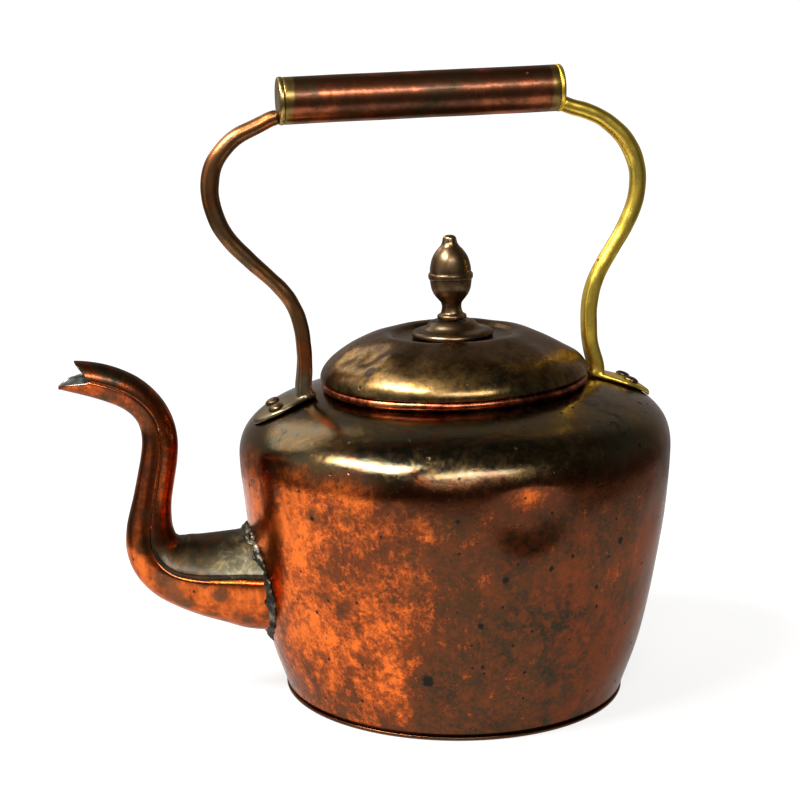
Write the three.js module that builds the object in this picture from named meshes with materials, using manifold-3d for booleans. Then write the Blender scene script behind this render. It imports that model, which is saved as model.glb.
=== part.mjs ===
// A copper kettle with a swan-neck spout, a lift-off lid and a fixed handle.
// Millimetres, +Z up. The origin is the centre of the flat base, the spout points along -X,
// and the handle stands in the XZ plane. The top of this old kettle leans a little towards the
// spout: the shoulder, mouth, lid and grip all share that lean.
import * as THREE from "three";
import { mergeVertices } from "three/addons/utils/BufferGeometryUtils.js";
import Module from "manifold-3d";

const wasm = await Module();
wasm.setup();

// ---- Driving dimensions -------------------------------------------------------------------
const AROUND = 48; // facets round the body, mouth and lid
const GAP = 0.3; // kept between touching pieces
const LEAN = THREE.MathUtils.degToRad(2.2); // how far the top leans towards the spout
const TOP_SHIFT = 0.6; // how far the top sits towards the spout
const LEAN_FROM = 70; // the body's lean grows between these two heights
const LEAN_TO = 128;

const SHEET = 1.2; // copper sheet of the body
const BASE_RADIUS = 75.9;
const BASE_THICKNESS = 1.7;
const MOUTH_RADIUS = 56.5; // edge of the hole in the shoulder
const MOUTH_HEIGHT = 137.2;

const SEAT_HEIGHT = 139.4; // centre of the rolled bead round the mouth
const BEAD_RADIUS = 1.7;
const COLLAR_INNER = 55.4;
const THIN_SHEET = 0.7; // sheet of the mouth ring and the lid's skirt
const SKIRT_OUTER = 54.4;
const LID_SHEET = 1.0;

const SPOUT_SHEET = 1.1;
const SOLDER_WIDTH = 2.9; // how far the solder fillet stands out round the spout's root
const SOLDER_HEIGHT = 3.5;

const GRIP_CENTRE = new THREE.Vector3(-15.8, 0, 263.2);
const GRIP_LENGTH = 123.2; // over both end caps
const GRIP_RADIUS = 10;
const CAP_THICKNESS = 2.2;
const SPIGOT_LENGTH = 7;
const STAY_DROP = 6.7; // the stays meet the end caps this far below the grip's axis

const FOOT_THICKNESS = 2.6;
const FOOT_LIFT = 0.45; // clears the facets of the shoulder under the foot
const RIVET_SHANK = 2.2;
const RIVET_HEAD = 3.2;
const RIVET_SPREAD = 6.3; // each rivet's distance from the handle's plane

// ---- Outlines: [radius, height] -----------------------------------------------------------
// Outside of the body from the base up over the shoulder to the mouth.
const BODY_OUTLINE = [
  [75.3, BASE_THICKNESS + GAP], [82.2, 22], [88.2, 49], [92.9, 79], [95.0, 104], [94.9, 113.5],
  [92.9, 119.9], [89.1, 124.8], [83.8, 128.6], [76.9, 131.7], [67.9, 134.5], [MOUTH_RADIUS, MOUTH_HEIGHT],
];

// Outside of the lid from its hanging edge over the dome and down into the well under the knob.
const LID_OUTLINE = [
  [58.4, 141.5], [58.8, 142.8], [57.4, 146.2], [53.0, 150.7], [46.4, 155.0], [38.5, 158.5],
  [30.8, 160.6], [27.8, 160.4], [25.2, 158.9], [23.0, 158.4], [2.8, 158.4],
];

// Turned brass plate between the lid and the knob.
const KNOB_PLATE_OUTLINE = [
  [2.8, 158.7], [17.4, 158.7], [17.9, 159.4], [16.9, 161.0], [13.6, 162.0], [11.7, 163.0],
  [9.6, 165.0], [7.4, 165.6], [2.8, 165.6],
];

// The acorn knob, from the peened end of its tail to its tip.
const KNOB_OUTLINE = [
  [0, 154.0], [3.4, 154.2], [3.7, 155.6], [2.4, 155.6], [2.4, 165.9], [6.1, 165.9], [6.4, 167.3],
  [5.2, 168.9], [4.3, 170.9], [4.5, 173.0], [7.4, 176.7], [8.7, 179.6], [9.1, 183.0], [9.7, 184.0],
  [9.7, 186.2], [9.1, 187.2], [8.5, 190.4], [6.9, 194.2], [3.6, 198.6], [2.7, 201.2], [1.4, 202.6],
  [0, 202.8],
];

// The spout's centre line, [x, z, height of the section, width of the section, rise of the side
// seams above the centre line], root first.
const SPOUT_SECTIONS = [
  [-78, 52.0, 46, 48, 6], [-87, 52.4, 45.5, 47.5, 6], [-94.3, 53.2, 44.0, 46, 5.6],
  [-100.3, 53.9, 41.1, 43.5, 5], [-110, 55.3, 37.2, 40, 3.6], [-118.7, 57.3, 33.2, 36.5, 2],
  [-126.4, 60.3, 29.5, 32.5, 0.8], [-131.6, 64.6, 26.2, 28.5, 0.2], [-134.6, 70.2, 23.3, 25, 0],
  [-135.5, 76.4, 20.8, 22.2, 0], [-135.2, 82.4, 18.8, 19.8, 0], [-134.1, 90.2, 16.8, 17.6, 0],
  [-132.4, 99.6, 16.1, 16.6, 0], [-130.8, 108.5, 15.8, 16.2, 0], [-130.2, 116.2, 15.4, 16, 0],
  [-131.1, 123.0, 14.8, 15.8, 0], [-133.6, 129.1, 14.4, 15.6, 0], [-137.6, 134.2, 14.5, 15.6, 0],
  [-142.6, 138.2, 15.0, 15.8, 0], [-148.5, 141.2, 15.3, 16, 0], [-154.8, 143.5, 15.2, 16, 0],
  [-161.2, 145.1, 14.5, 15.6, 0], [-166.5, 146.0, 13.5, 14.8, 0], [-172.0, 146.6, 11.8, 13, 0],
];
// The mouth of the spout is cut to a beak by a V on each side.
const BEAK_APEX = [-158.2, 145.2];
const BEAK_UPPER = [-180.1, 168.0]; // far out along the upper cut
const BEAK_LOWER = [-196.0, 135.0]; // far out along the lower cut

// Each stay's centre line from the grip down: [x, z, thickness in the handle's plane, width in Y].
const FRONT_STAY = [
  [-79.6, 253.6, 6.6, 7.4], [-86.6, 250.4, 6.8, 7.4], [-95.1, 245.9, 7.2, 7.6],
  [-100.9, 240.5, 7.6, 7.8], [-104.9, 234.0, 7.9, 8.0], [-106.5, 226.0, 8.0, 8.2],
  [-105.8, 217.7, 7.7, 8.2], [-102.7, 209.1, 7.4, 8.2], [-97.3, 201.1, 7.1, 8.2],
  [-89.8, 193.4, 6.8, 8.2], [-81.9, 186.2, 6.5, 8.2], [-74.9, 178.9, 6.4, 8.4],
  [-70.1, 170.4, 6.4, 8.6], [-67.9, 161.7, 6.3, 9.0], [-67.1, 153.1, 6.3, 9.6],
  [-67.0, 145.5, 6.4, 11.0],
];
const REAR_STAY = [
  [50.9, 257.3, 7.0, 7.4], [56.6, 255.7, 7.1, 7.4], [64.4, 252.3, 7.1, 7.4], [71.9, 246.6, 7.5, 7.6],
  [77.6, 239.0, 7.7, 7.8], [80.6, 231.0, 7.6, 7.8], [81.2, 223.2, 7.5, 7.8], [79.7, 214.3, 7.4, 7.8],
  [75.8, 205.0, 7.1, 7.8], [70.4, 195.6, 6.8, 7.8], [65.4, 187.0, 6.6, 8.0], [61.9, 178.6, 6.5, 8.2],
  [60.5, 170.0, 6.4, 8.6], [60.5, 162.0, 6.2, 9.2], [61.2, 154.0, 6.0, 10.4],
];
// Where each foot starts under its stay, its rivets and its rounded outer end, all as x.
const FRONT_FOOT = { start: -62.5, stay: -67.2, rivets: -79.4, end: -89.7 };
const REAR_FOOT = { start: 59.6, stay: 63.5, rivets: 77.6, end: 88.8 };
// Half width of a foot, as [share of its length, half width].
const FOOT_HALF_WIDTHS = [
  [0, 5.2], [0.12, 6.2], [0.26, 8.4], [0.42, 10.8], [0.6, 11.6], [0.76, 10.6],
  [0.88, 8.0], [0.96, 4.6], [1, 1.6],
];

// ---- Materials ----------------------------------------------------------------------------
const metal = (color, roughness) => new THREE.MeshStandardMaterial({ color, roughness, metalness: 1 });
const copper = metal(0xa8552f, 0.38);
const agedCopper = metal(0x6b4a32, 0.42);
const brass = metal(0xc9a23c, 0.3);
const agedBrass = metal(0x7d6238, 0.4);
const solder = metal(0x55564f, 0.6);
const iron = metal(0x4a4644, 0.7);

// ---- Geometry helpers ---------------------------------------------------------------------
const smooth = THREE.MathUtils.smoothstep;

// A closed geometry as a manifold solid.
function toSolid(geometry) {
  const bare = geometry.index ? geometry.toNonIndexed() : geometry.clone();
  bare.deleteAttribute("normal");
  bare.deleteAttribute("uv");
  const merged = mergeVertices(bare, 1e-3);
  return new wasm.Manifold(new wasm.Mesh({
    numProp: 3,
    vertProperties: merged.attributes.position.array,
    triVerts: new Uint32Array(merged.index.array),
  }));
}

function toGeometry(solid) {
  const mesh = solid.getMesh();
  const geometry = new THREE.BufferGeometry();
  geometry.setAttribute("position", new THREE.BufferAttribute(new Float32Array(mesh.vertProperties), 3));
  geometry.setIndex(new THREE.BufferAttribute(new Uint32Array(mesh.triVerts), 1));
  geometry.computeVertexNormals();
  return geometry;
}

// A solid of revolution about Z from an outline of [radius, height] that closes on itself or on the axis.
function revolve(outline, segments = AROUND) {
  const points = outline.map(([r, z]) => new THREE.Vector2(r, z));
  if (THREE.ShapeUtils.area(points) < 0) points.reverse();
  return new THREE.LatheGeometry(points, segments).rotateX(Math.PI / 2);
}

// Each point of an outline moved out along its own normal by the distance.
function offsetOutline(points, distance) {
  return points.map(([r, z], i) => {
    const [r0, z0] = points[Math.max(i - 1, 0)];
    const [r1, z1] = points[Math.min(i + 1, points.length - 1)];
    const length = Math.hypot(r1 - r0, z1 - z0);
    return [r + ((z1 - z0) / length) * distance, z - ((r1 - r0) / length) * distance];
  });
}

// The closed outline of a sheet whose outside runs through the points.
function sheetOutline(points, thickness) {
  return [...points, ...offsetOutline(points, -thickness).reverse(), points[0]];
}

// The solid inside the body's outline, grown by the offset.
function filledBody(offset) {
  const grown = offsetOutline(BODY_OUTLINE, offset);
  const low = [0, grown[0][1]];
  const high = [0, grown[grown.length - 1][1]];
  return toSolid(lean(revolve([low, ...grown, high])));
}

// Leans the top of the body: up at the rear, down at the spout's side, and a little towards it.
const leanShare = (z) => smooth(z, LEAN_FROM, LEAN_TO);
function lean(geometry) {
  const at = geometry.attributes.position;
  for (let i = 0; i < at.count; i += 1) {
    const share = leanShare(at.getZ(i));
    at.setZ(i, at.getZ(i) + at.getX(i) * Math.tan(LEAN) * share);
    at.setX(i, at.getX(i) - TOP_SHIFT * share);
  }
  return geometry;
}

// A closed solid through a list of rings, each a list of Vector3 running the same way round.
function loft(rings) {
  const count = rings[0].length;
  const positions = rings.flat().flatMap((p) => [p.x, p.y, p.z]);
  const index = [];
  for (let r = 0; r < rings.length - 1; r += 1) {
    for (let k = 0; k < count; k += 1) {
      const a = r * count + k;
      const b = r * count + ((k + 1) % count);
      index.push(a, b, b + count, a, b + count, a + count);
    }
  }
  const last = (rings.length - 1) * count;
  const flat = rings[0].map((p) => capPoint(p, rings[0]));
  for (const [a, b, c] of THREE.ShapeUtils.triangulateShape(flat, [])) {
    index.push(c, b, a, last + a, last + b, last + c);
  }
  const geometry = new THREE.BufferGeometry();
  geometry.setAttribute("position", new THREE.Float32BufferAttribute(positions, 3));
  geometry.setIndex(index);
  const solid = toSolid(geometry);
  if (solid.volume() > 0) return solid;
  geometry.setIndex(index.map((_, i) => index[i - (i % 3) + 2 - (i % 3)]));
  return toSolid(geometry);
}

// A ring's point in the ring's own plane, for triangulating the end caps.
function capPoint(p, ring) {
  const origin = ring[0];
  const side = ring[1].clone().sub(origin).normalize();
  const far = ring[Math.floor(ring.length / 2)].clone().sub(origin);
  const up = far.sub(side.clone().multiplyScalar(far.dot(side))).normalize();
  const from = p.clone().sub(origin);
  return new THREE.Vector2(from.dot(side), from.dot(up));
}

// Frames along a centre line in the XZ plane, one for each row: the rows are
// [x, z, size across the line in the plane, size in Y, rise of the seams].
function framesAlong(rows) {
  const points = rows.map(([x, z]) => new THREE.Vector3(x, 0, z));
  const line = new THREE.CatmullRomCurve3(points, false, "centripetal");
  return rows.map(([, , height, width, rise], i) => {
    const along = line.getTangent(i / (rows.length - 1));
    return { at: points[i], across: new THREE.Vector3(along.z, 0, -along.x), height, width, rise };
  });
}

// A point of a frame's section: up is measured across the line and side along Y.
const sectionPoint = (frame, up, side) =>
  frame.at.clone().addScaledVector(frame.across, up).add(new THREE.Vector3(0, side, 0));

// One full ring of a rounded section; squareness 2 is an ellipse, and more is squarer.
function ring(frame, grow, points, squareness = 2) {
  const power = 2 / squareness;
  const bend = (v) => Math.sign(v) * Math.abs(v) ** power;
  return Array.from({ length: points }, (_, k) => {
    const angle = (2 * Math.PI * k) / points;
    const up = (frame.height / 2 + grow) * bend(Math.sin(angle));
    const side = (frame.width / 2 + grow) * bend(Math.cos(angle));
    return sectionPoint(frame, up, side);
  });
}

const group = new THREE.Group();
function addPart(name, geometry, material, parent = group) {
  const mesh = new THREE.Mesh(geometry, material);
  mesh.name = name;
  parent.add(mesh);
  return mesh;
}

// ---- The spout ----------------------------------------------------------------------------
const SPOUT_POINTS = 16;
const spoutFrames = framesAlong(SPOUT_SECTIONS);

// Half of the spout's wall: sign 1 is the upper half, inside the lower bend, and -1 the lower half.
function spoutHalf(sign) {
  const arc = SPOUT_POINTS / 2;
  const rings = spoutFrames.map((frame) => {
    const outer = [];
    const inner = [];
    for (let k = 0; k <= arc; k += 1) {
      for (const [list, shrink] of [[outer, 0], [inner, SPOUT_SHEET]]) {
        const high = frame.height / 2 - shrink;
        const wide = frame.width / 2 - shrink;
        const start = Math.asin((sign * frame.rise + GAP / 2) / high);
        const angle = start + ((Math.PI - 2 * start) * k) / arc;
        list.push(sectionPoint(frame, sign * high * Math.sin(angle), wide * Math.cos(angle)));
      }
    }
    return [...outer, ...inner.reverse()];
  });
  return loft(rings).subtract(filledBody(GAP)).subtract(beakCut());
}

// The wedge that opens the spout's mouth.
function beakCut() {
  const shape = new THREE.Shape([BEAK_APEX, BEAK_UPPER, BEAK_LOWER].map(([x, z]) => new THREE.Vector2(x, z)));
  const depth = 40;
  const wedge = new THREE.ExtrudeGeometry(shape, { depth, bevelEnabled: false });
  return toSolid(wedge.translate(0, 0, -depth / 2).rotateX(Math.PI / 2));
}

// The root of the spout as a solid plug, for the hole in the body and the solder round it.
const spoutRoot = (grow) => loft(spoutFrames.slice(0, 6).map((frame) => ring(frame, grow, SPOUT_POINTS)));

const FACET_SLACK = 0.45; // the halves' corners stand this far out of the plug's flat facets
const solderRing = () =>
  spoutRoot(SOLDER_WIDTH + GAP)
    .intersect(filledBody(SOLDER_HEIGHT))
    .subtract(spoutRoot(GAP + FACET_SLACK))
    .subtract(filledBody(GAP));

// ---- The shoulder that the handle's feet stand on -----------------------------------------
const shoulderPoints = BODY_OUTLINE.filter(([, z]) => z > 100);

// Height of the body's outside above a point of the shoulder.
function shoulderHeight(x, y) {
  const r = Math.hypot(x + TOP_SHIFT, y);
  const next = shoulderPoints.findIndex(([outlineRadius], i) => i > 0 && outlineRadius < r);
  const [[r0, z0], [r1, z1]] = [shoulderPoints[next - 1], shoulderPoints[next]];
  const z = THREE.MathUtils.mapLinear(r, r0, r1, z0, z1);
  return z + (x + TOP_SHIFT) * Math.tan(LEAN) * leanShare(z);
}

function shoulderNormal(x, y) {
  const step = 0.5;
  const dx = (shoulderHeight(x + step, y) - shoulderHeight(x - step, y)) / (2 * step);
  const dy = (shoulderHeight(x, y + step) - shoulderHeight(x, y - step)) / (2 * step);
  return new THREE.Vector3(-dx, -dy, 1).normalize();
}

// A frame on the shoulder whose +Z is the outward normal.
function onShoulder(x, y) {
  const holder = new THREE.Group();
  holder.position.set(x, y, shoulderHeight(x, y));
  holder.quaternion.setFromUnitVectors(new THREE.Vector3(0, 0, 1), shoulderNormal(x, y));
  holder.updateMatrix();
  return holder;
}

// ---- The handle ---------------------------------------------------------------------------
const footHalfWidth = (share) => {
  const next = Math.max(1, FOOT_HALF_WIDTHS.findIndex(([s]) => s >= share));
  const [[s0, w0], [s1, w1]] = [FOOT_HALF_WIDTHS[next - 1], FOOT_HALF_WIDTHS[next]];
  return THREE.MathUtils.mapLinear(share, s0, s1, w0, w1);
};

// The flat foot, bent to lie on the shoulder, with its upper edges eased.
function foot({ start, end }) {
  const lengthSteps = 12;
  const across = [-1, -0.86, -0.4, 0.4, 0.86, 1];
  const rings = [];
  for (let i = 0; i <= lengthSteps; i += 1) {
    const share = i / lengthSteps;
    const x = THREE.MathUtils.lerp(start, end, share);
    const point = (v, height) => {
      const y = v * footHalfWidth(share);
      return new THREE.Vector3(x, y, shoulderHeight(x, y) + FOOT_LIFT + height);
    };
    const easedTop = (v) => FOOT_THICKNESS - (Math.abs(v) === 1 ? 0.9 : 0);
    const top = across.map((v) => point(v, easedTop(v)));
    const bottom = across.map((v) => point(v, 0)).reverse();
    rings.push([...top, ...bottom]);
  }
  return loft(rings);
}

const rivetPlaces = ({ rivets }) => [[rivets, -RIVET_SPREAD], [rivets, RIVET_SPREAD]];

// A cylinder through the foot and the shoulder at a rivet's place.
function rivetHole([x, y]) {
  const length = 20;
  const drill = new THREE.CylinderGeometry(RIVET_SHANK + GAP, RIVET_SHANK + GAP, length, 16);
  return toSolid(drill.rotateX(Math.PI / 2).applyMatrix4(onShoulder(x, y).matrix));
}

// A stay: a bar from the grip's end cap down to its foot, all forged in one piece.
const SOLE_DEPTH = 1.4; // how far the bar runs into its foot
function stay(rows, side, footPlaces) {
  const start = gripPoint((side * GRIP_LENGTH) / 2, -STAY_DROP);
  const normal = shoulderNormal(footPlaces.stay, 0);
  const lift = FOOT_LIFT + FOOT_THICKNESS / normal.z;
  const top = new THREE.Vector3(footPlaces.stay, 0, shoulderHeight(footPlaces.stay, 0) + lift);
  const ankle = top.clone().addScaledVector(normal, 1.6);
  const sole = top.clone().addScaledVector(normal, -SOLE_DEPTH);
  const bar = framesAlong([
    [start.x, start.z, rows[0][2], rows[0][3]], ...rows,
    [ankle.x, ankle.z, 6.6, 12], [sole.x, sole.z, 7, 12.4],
  ]);
  let solid = loft(bar.map((frame) => ring(frame, 0, 10, 2.7))).add(foot(footPlaces));
  for (const place of rivetPlaces(footPlaces)) solid = solid.subtract(rivetHole(place));
  return solid.subtract(gripEndCut(side));
}

// A place in the handle's plane given along and across the grip's axis.
function gripPoint(along, across) {
  return new THREE.Vector3(
    GRIP_CENTRE.x + along * Math.cos(LEAN) - across * Math.sin(LEAN),
    0,
    GRIP_CENTRE.z + along * Math.sin(LEAN) + across * Math.cos(LEAN),
  );
}

// Keeps a stay's end off the grip's cap.
function gripEndCut(side) {
  const depth = 30;
  const box = new THREE.BoxGeometry(depth, depth, depth);
  box.translate(side * (GRIP_LENGTH / 2 + GAP - depth / 2), 0, 0);
  return toSolid(box.rotateY(-LEAN).translate(GRIP_CENTRE.x, 0, GRIP_CENTRE.z));
}

// A rivet: a domed head on the foot, a shank, and a peened tail inside the kettle.
function rivetOutline(headBase) {
  const tailBase = -(SHEET + 3 * GAP); // clears the curved inside of the shoulder
  return [
    [0, tailBase - 1.3], [2.4, tailBase - 0.8], [3.0, tailBase], [RIVET_SHANK, tailBase],
    [RIVET_SHANK, headBase], [RIVET_HEAD, headBase], [RIVET_HEAD - 0.5, headBase + 1],
    [0, headBase + 1.7],
  ];
}

function addRivets(prefix, footPlaces) {
  rivetPlaces(footPlaces).forEach(([x, y], i) => {
    const holder = onShoulder(x, y);
    const headBase = (FOOT_LIFT + FOOT_THICKNESS) * shoulderNormal(x, y).z + GAP;
    group.add(holder);
    addPart(`${prefix}_rivet_${i + 1}`, revolve(rivetOutline(headBase), 12), agedCopper, holder);
  });
}

// ---- Body, base and spout -----------------------------------------------------------------
let shell = toSolid(lean(revolve(sheetOutline(BODY_OUTLINE, SHEET))));
shell = shell.subtract(spoutRoot(-SPOUT_SHEET));
for (const place of [...rivetPlaces(FRONT_FOOT), ...rivetPlaces(REAR_FOOT)]) {
  shell = shell.subtract(rivetHole(place));
}
addPart("body_shell", toGeometry(shell), copper);

// The base disc closes the wall's lower edge and stands a little proud of it.
addPart("base_plate", revolve([
  [0, 0], [BASE_RADIUS - 0.5, 0], [BASE_RADIUS, 0.5], [BASE_RADIUS - 0.3, BASE_THICKNESS],
  [0, BASE_THICKNESS],
]), copper);

addPart("spout_upper_half", toGeometry(spoutHalf(1)), agedCopper);
addPart("spout_lower_half", toGeometry(spoutHalf(-1)), copper);
addPart("spout_solder", toGeometry(solderRing()), solder);

// ---- Mouth and lid, which lean together ---------------------------------------------------
const mouth = new THREE.Group();
mouth.position.set(-TOP_SHIFT, 0, MOUTH_HEIGHT);
mouth.rotation.y = -LEAN;
group.add(mouth);
const onMouth = (geometry) => geometry.translate(0, 0, -MOUTH_HEIGHT);

const arcPoints = (r, z, radius, from, to, steps) =>
  Array.from({ length: steps + 1 }, (_, i) => {
    const angle = THREE.MathUtils.degToRad(THREE.MathUtils.lerp(from, to, i / steps));
    return [r + radius * Math.cos(angle), z + radius * Math.sin(angle)];
  });

// A collar that lines the mouth; its top is rolled outwards round a wire.
const beadCentre = COLLAR_INNER + BEAD_RADIUS;
const COLLAR_FOOT = 127.5;
const CURL_END = -135; // degrees round the bead where the rolled edge stops
addPart("mouth_ring", onMouth(revolve([
  [COLLAR_INNER, COLLAR_FOOT],
  ...arcPoints(beadCentre, SEAT_HEIGHT, BEAD_RADIUS, 180, CURL_END, 7),
  ...arcPoints(beadCentre, SEAT_HEIGHT, BEAD_RADIUS - THIN_SHEET, CURL_END, 180, 5),
  [COLLAR_INNER + THIN_SHEET, COLLAR_FOOT],
  [COLLAR_INNER, COLLAR_FOOT],
])), copper, mouth);

const WIRE_RADIUS = BEAD_RADIUS - THIN_SHEET - 0.35;
addPart("mouth_wire", onMouth(revolve(
  [...arcPoints(beadCentre, SEAT_HEIGHT, WIRE_RADIUS, 0, 300, 5), [beadCentre + WIRE_RADIUS, SEAT_HEIGHT]],
)), iron, mouth);

addPart("lid_dome", onMouth(revolve(sheetOutline(LID_OUTLINE, LID_SHEET))), agedCopper, mouth);

const SKIRT_TOP = 147.6;
const SKIRT_FOOT = 130.5;
addPart("lid_skirt", onMouth(revolve([
  [SKIRT_OUTER - THIN_SHEET, SKIRT_FOOT], [SKIRT_OUTER, SKIRT_FOOT], [SKIRT_OUTER, SKIRT_TOP],
  [SKIRT_OUTER - THIN_SHEET, SKIRT_TOP], [SKIRT_OUTER - THIN_SHEET, SKIRT_FOOT],
])), copper, mouth);

addPart("knob_plate", onMouth(revolve([...KNOB_PLATE_OUTLINE, KNOB_PLATE_OUTLINE[0]], 28)), agedBrass, mouth);
addPart("knob", onMouth(revolve(KNOB_OUTLINE, 20)), agedBrass, mouth);

const ROVE = { inner: 2.8, outer: 6.5, low: 155.9, high: 157.0 };
addPart("knob_rove", onMouth(revolve([
  [ROVE.inner, ROVE.low], [ROVE.outer, ROVE.low], [ROVE.outer, ROVE.high],
  [ROVE.inner, ROVE.high], [ROVE.inner, ROVE.low],
], 16)), copper, mouth);

// ---- Handle -------------------------------------------------------------------------------
addPart("front_stay", toGeometry(stay(FRONT_STAY, -1, FRONT_FOOT)), agedBrass);
addPart("rear_stay", toGeometry(stay(REAR_STAY, 1, REAR_FOOT)), brass);
addRivets("front", FRONT_FOOT);
addRivets("rear", REAR_FOOT);

const grip = new THREE.Group();
grip.position.copy(GRIP_CENTRE);
grip.rotation.y = -LEAN;
group.add(grip);
const alongX = (geometry) => geometry.rotateY(Math.PI / 2);

const GRIP_SHEET = 1;
const tubeHalf = GRIP_LENGTH / 2 - CAP_THICKNESS - GAP;
addPart("grip_tube", alongX(revolve([
  [GRIP_RADIUS - GRIP_SHEET, -tubeHalf], [GRIP_RADIUS, -tubeHalf], [GRIP_RADIUS, tubeHalf],
  [GRIP_RADIUS - GRIP_SHEET, tubeHalf], [GRIP_RADIUS - GRIP_SHEET, -tubeHalf],
], 32)), agedCopper, grip);

// An end cap: a disc over the tube's end with a spigot that plugs into the tube.
const CAP_RADIUS = GRIP_RADIUS + 0.4;
const SPIGOT_RADIUS = GRIP_RADIUS - GRIP_SHEET - GAP - 0.1;
for (const [name, side] of [["front_grip_cap", -1], ["rear_grip_cap", 1]]) {
  const face = GRIP_LENGTH / 2;
  const cap = revolve([
    [0, face], [CAP_RADIUS - 0.6, face], [CAP_RADIUS, face - 0.6], [CAP_RADIUS, face - CAP_THICKNESS],
    [SPIGOT_RADIUS, face - CAP_THICKNESS], [SPIGOT_RADIUS, face - CAP_THICKNESS - SPIGOT_LENGTH],
    [0, face - CAP_THICKNESS - SPIGOT_LENGTH],
  ], 28);
  addPart(name, side > 0 ? alongX(cap) : alongX(cap).rotateZ(Math.PI), brass, grip);
}

export default group;
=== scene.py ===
"""An old copper kettle with a swan-neck spout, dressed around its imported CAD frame.

Metres, +Z up, the spout along -X and the handle in the XZ plane. Lengths inside the shape
code are in millimetres and turn into metres when a mesh is made.
"""

import math

import bpy
import numpy as np
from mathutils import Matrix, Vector, noise


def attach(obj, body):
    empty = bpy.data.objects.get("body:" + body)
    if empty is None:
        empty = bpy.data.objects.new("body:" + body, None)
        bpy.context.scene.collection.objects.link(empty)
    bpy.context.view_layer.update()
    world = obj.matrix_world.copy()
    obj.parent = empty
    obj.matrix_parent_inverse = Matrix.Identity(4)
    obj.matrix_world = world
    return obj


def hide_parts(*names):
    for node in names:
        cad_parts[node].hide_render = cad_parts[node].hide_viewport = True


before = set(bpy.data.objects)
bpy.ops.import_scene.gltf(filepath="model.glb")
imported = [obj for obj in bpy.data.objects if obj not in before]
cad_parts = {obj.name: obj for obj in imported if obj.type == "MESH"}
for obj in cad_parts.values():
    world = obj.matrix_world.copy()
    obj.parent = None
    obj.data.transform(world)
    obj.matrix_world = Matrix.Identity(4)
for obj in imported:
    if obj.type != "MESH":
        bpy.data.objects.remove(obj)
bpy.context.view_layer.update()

MM = 0.001
KETTLE, LID = "kettle", "lid"

# ---- The kettle's lean, as the CAD has it -----------------------------------------------------
LEAN = math.radians(2.2)
TOP_SHIFT = 0.6
LEAN_FROM, LEAN_TO = 70.0, 128.0
MOUTH_HEIGHT = 137.2


def smoothstep(x, low, high):
    t = np.clip((x - low) / (high - low), 0.0, 1.0)
    return t * t * (3 - 2 * t)


def lean_body(points):
    """Leans the top of the body towards the spout."""
    share = smoothstep(points[:, 2], LEAN_FROM, LEAN_TO)
    out = points.copy()
    out[:, 2] += points[:, 0] * math.tan(LEAN) * share
    out[:, 0] -= TOP_SHIFT * share
    return out


def place(points, origin, angle):
    """Turns points about Y by the angle, so +X rises, round the origin they are given about."""
    c, s = math.cos(angle), math.sin(angle)
    x, z = points[:, 0], points[:, 2]
    return np.stack([x * c - z * s, points[:, 1], x * s + z * c], axis=1) + np.array(origin)


def on_mouth(points):
    """From a frame whose origin is the kettle's base to the leaning mouth."""
    moved = points - np.array([0, 0, MOUTH_HEIGHT])
    return place(moved, (-TOP_SHIFT, 0, MOUTH_HEIGHT), LEAN)


def catmull(points, steps):
    """Points of a smooth curve through all the given ones, steps to each span."""
    p = np.asarray(points, dtype=float)
    padded = np.vstack([2 * p[0] - p[1], p, 2 * p[-1] - p[-2]])
    rows = []
    for i in range(len(p) - 1):
        p0, p1, p2, p3 = padded[i:i + 4]
        d = [max(np.linalg.norm(b[:2] - a[:2]), 1e-6) ** 0.5 for a, b in ((p0, p1), (p1, p2), (p2, p3))]
        m1 = (p2 - p1) + d[1] * ((p1 - p0) / d[0] - (p2 - p0) / (d[0] + d[1]))
        m2 = (p2 - p1) + d[1] * ((p3 - p2) / d[2] - (p3 - p1) / (d[1] + d[2]))
        for t in np.linspace(0, 1, steps, endpoint=False):
            h = (2 * t**3 - 3 * t**2 + 1, t**3 - 2 * t**2 + t, -2 * t**3 + 3 * t**2, t**3 - t**2)
            rows.append(h[0] * p1 + h[1] * m1 + h[2] * p2 + h[3] * m2)
    rows.append(p[-1])
    return np.array(rows)


def offset_outline(points, distance):
    """A (radius, height) outline moved out along its own normals."""
    p = np.asarray(points, dtype=float)
    along = np.gradient(p, axis=0)
    along /= np.linalg.norm(along, axis=1)[:, None]
    return p + distance * np.stack([along[:, 1], -along[:, 0]], axis=1)


def sheet(outside, thickness):
    """The closed outline of a sheet from the curve of its outside."""
    return np.vstack([outside, offset_outline(outside, -thickness)[::-1]])


def make_object(name, points, faces):
    """A smooth-shaded mesh object from millimetre points."""
    mesh = bpy.data.meshes.new(name)
    mesh.from_pydata((np.asarray(points) * MM).tolist(), [], faces)
    mesh.polygons.foreach_set("use_smooth", [True] * len(mesh.polygons))
    mesh.update()
    obj = bpy.data.objects.new(name, mesh)
    bpy.context.scene.collection.objects.link(obj)
    return obj


def grid_faces(rows, columns, wrap_rows):
    """Quads of a grid whose columns close on themselves."""
    faces = []
    for r in range(rows if wrap_rows else rows - 1):
        a, b = r * columns, ((r + 1) % rows) * columns
        for k in range(columns):
            n = (k + 1) % columns
            faces.append((a + k, a + n, b + n, b + k))
    return faces


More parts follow.
